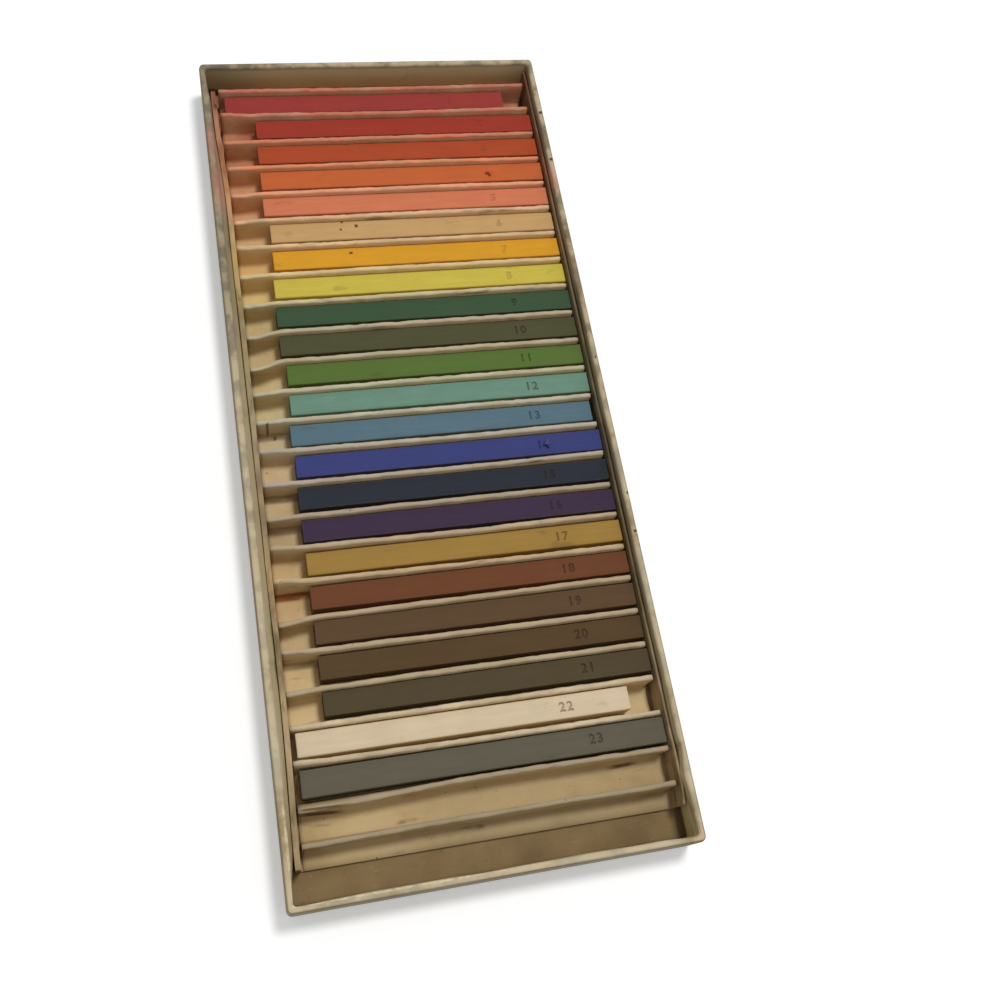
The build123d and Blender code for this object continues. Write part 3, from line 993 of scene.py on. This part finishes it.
def make_covered_walls(finish):
    """Covering paper round the walls and over the rim, softly uneven, with a rubbed, rounded top."""
    wrap, wall = 0.3 * mm, 1.8 * mm
    outer_curve, inner_curve = 1.3 * mm, 0.8 * mm
    top, bottom = tray_high.z, tray_low.z
    turned_to = base_low.z + 2.4 * mm
    # Points round the paper's section, as (inset, z, how far it stands off the wall, how low down)
    section = [(0.0, bottom + (top - outer_curve - bottom) * number / 7, 0.0, 0.0) for number in range(8)]
    for number in range(1, 10):
        angle = radians(180 - 20 * number)
        drop = outer_curve if angle > pi / 2 else inner_curve
        height = top - drop + drop * sin(angle)
        section.append((wall / 2 * (1 + cos(angle)), height, max(0.0, 0.7 * cos(angle)), 0.0))
    for number in range(1, 14):
        share = number / 13
        height = top - inner_curve - (top - inner_curve - turned_to) * share
        stands_off = 0.7 + 0.3 * smooth(share / 0.15)
        if share >= 0.5:
            stands_off = 1 - 0.9 * smooth((share - 0.5) / 0.45)
        section.append((wall, height, stands_off, smooth((share - 0.02) / 0.21)))
    section += [(wall - wrap, turned_to, 0.1, 1.0), (wall - wrap, top - wrap * 2, 0.0, 0.0)]
    section += [(wrap, top - wrap * 4, 0.0, 0.0), (wrap, bottom, 0.0, 0.0)]
    rings = [wall_ring(part[0], 1.4 * mm) for part in section]
    points = []
    for place in range(len(rings[0])):
        for (_, z, stands_off, low_down), ring in zip(section, rings):
            spot, out = ring[place]
            spot = spot - out * lining_bulge(spot, out, low_down) * stands_off * mm
            if z > top - 1 * mm:
                z -= 0.12 * mm * (1 + sin(spot.y / (11 * mm) + spot.x / (8 * mm))) / 2
            points.append((spot.x, spot.y, z))
    mesh = mesh_of("covered_walls", points, grid_faces(len(rings[0]), len(section), True, True))
    faced_outwards(mesh)
    mesh.shade_smooth()
    mesh.materials.append(finish)
    piece = placed("covering_paper_walls", mesh)
    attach(piece, "tray")
    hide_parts("side_wrap")


# Stage

def seen_ray(nodes):
    """1 for what the camera sees, by itself, in a reflection or through glass, and 0 for light."""
    kinds = [nodes.node("ShaderNodeLightPath", output=f"Is {kind} Ray")
             for kind in ("Camera", "Glossy", "Transmission")]
    return nodes.larger(nodes.larger(kinds[0], kinds[1]), kinds[2])


def make_floor():
    """A plain pale surface that shows white to the camera and keeps the tray's shadow."""
    size = 3.0
    corners = [(-size, -size), (size, -size), (size, size), (-size, size)]
    mesh = mesh_of("floor", [(x, y, -0.02 * mm) for x, y in corners], [(0, 1, 2, 3)])
    floor = placed("floor", mesh)
    material = bpy.data.materials.new("floor_white")
    nodes = Nodes(emptied(material))
    matt = nodes.node("ShaderNodeBsdfDiffuse", None, {"Color": (0.93, 0.93, 0.92, 1.0)})
    lit = nodes.node("ShaderNodeEmission", None, {"Strength": seen_ray(nodes) * 0.24})
    both = nodes.node("ShaderNodeAddShader", None, {0: matt, 1: lit})
    nodes.node("ShaderNodeOutputMaterial", None, {"Surface": both})
    mesh.materials.append(material)


def make_world():
    """Even soft light, white to the camera and in reflections."""
    world = bpy.data.worlds.new("studio")
    bpy.context.scene.world = world
    nodes = Nodes(emptied(world))
    white = (1.0, 1.0, 1.0, 1.0)
    soft, seen = [nodes.node("ShaderNodeBackground", None, {"Color": white, "Strength": strength})
                  for strength in (0.45, 1.0)]
    both = nodes.node("ShaderNodeMixShader", None, {0: seen_ray(nodes), 1: soft, 2: seen})
    nodes.node("ShaderNodeOutputWorld", None, {"Surface": both})


def make_lamp(name, place, aim, size, power):
    lamp = bpy.data.lights.new(name, "AREA")
    lamp.shape = "DISK"
    lamp.size = size
    lamp.energy = power
    holder = placed(name, lamp)
    holder.location = place
    holder.rotation_euler = (Vector(aim) - Vector(place)).to_track_quat("-Z", "Y").to_euler()


def make_camera():
    """A hand-held view from above the near left, as found from the tray's rim and the sticks' corners."""
    eye = Vector((-55.88, -136.90, 313.86)) * mm
    forward = Vector((0.22095, 0.3326, -0.91682))
    right = Vector((0.97015, -0.17129, 0.17166))
    right = (right - forward * right.dot(forward)).normalized()
    up = right.cross(forward).normalized()
    camera = bpy.data.cameras.new("camera")
    camera.sensor_width = 36.0
    camera.lens = 40.91
    camera.clip_start = 0.01
    holder = placed("camera", camera)
    turn = Matrix((right, up, -forward.normalized())).transposed().to_4x4()
    holder.matrix_world = Matrix.Translation(eye) @ turn
    bpy.context.scene.camera = holder


def paint(node, material):
    """Give a part that keeps its own solid its finish."""
    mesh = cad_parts[node].data
    mesh.materials.clear()
    mesh.materials.append(material)


covering = covering_paper_finish()
board = chipboard_finish()
card = card_finish()
stays = stay_paper_finish()
paint("tray_board", board)
paint("bottom_sheet", covering)
paint("base_card", card)
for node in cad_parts:
    if node.startswith("corner_stay_"):
        paint(node, stays)

make_covered_walls(covering)
make_side_card("side_card_left", left_card_low, left_card_high, card, seed=0.4, bow=1.15,
               near_bend=0.0, soft_edge=0.5, torn_off=7.0, torn_length=12.0)
make_side_card("side_card_right", right_card_low, right_card_high, card, seed=1.9, bow=0.0,
               near_bend=-0.5, soft_edge=0.2, torn_off=0.6, torn_length=1.0)
sheet = make_pleated_sheet(pleated_paper_finish())
make_crumbs(sheet, loose_pigment_finish())
make_sticks({name: pastel_finish(name, pigment) for name, pigment in pigments.items()})

make_floor()
make_world()
make_lamp("window", (0.28, 0.22, 1.3), (0, 0, 0), 0.3, 9.0)
make_camera()
bpy.context.scene.view_settings.view_transform = "Standard"
